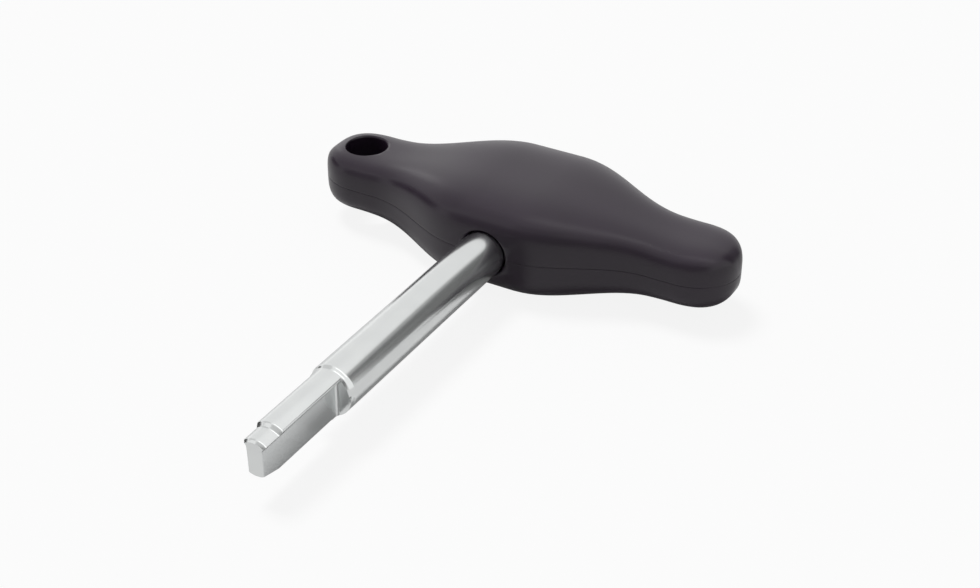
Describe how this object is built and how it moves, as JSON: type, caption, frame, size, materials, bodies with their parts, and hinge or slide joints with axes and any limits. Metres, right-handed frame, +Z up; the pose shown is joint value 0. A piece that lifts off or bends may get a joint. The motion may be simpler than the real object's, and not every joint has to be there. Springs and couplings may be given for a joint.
{
  "type": "drain plug wrench",
  "caption": "T-handle wrench with a plated round bar whose milled bit turns the plastic drain plug of an oil pan; hanging hole in one arm of the black handle.",
  "frame": {"origin": "under the middle of the tool's bounding box, on the surface that the tool lies on", "axes": "+Z up, square to the flat of the T; +X along the handle, away from the hanging hole; the bar points to -Y"},
  "size_m": [0.12, 0.1394, 0.0258],
  "materials": {
    "handle_plastic": "satin moulded black plastic",
    "plated_steel": "bright plated turned steel"
  },
  "bodies": {
    "root": {"handle_upper": "handle_plastic", "handle_lower": "handle_plastic", "shaft": "plated_steel", "cross_pin": "plated_steel"}
  },
  "joints": []
}
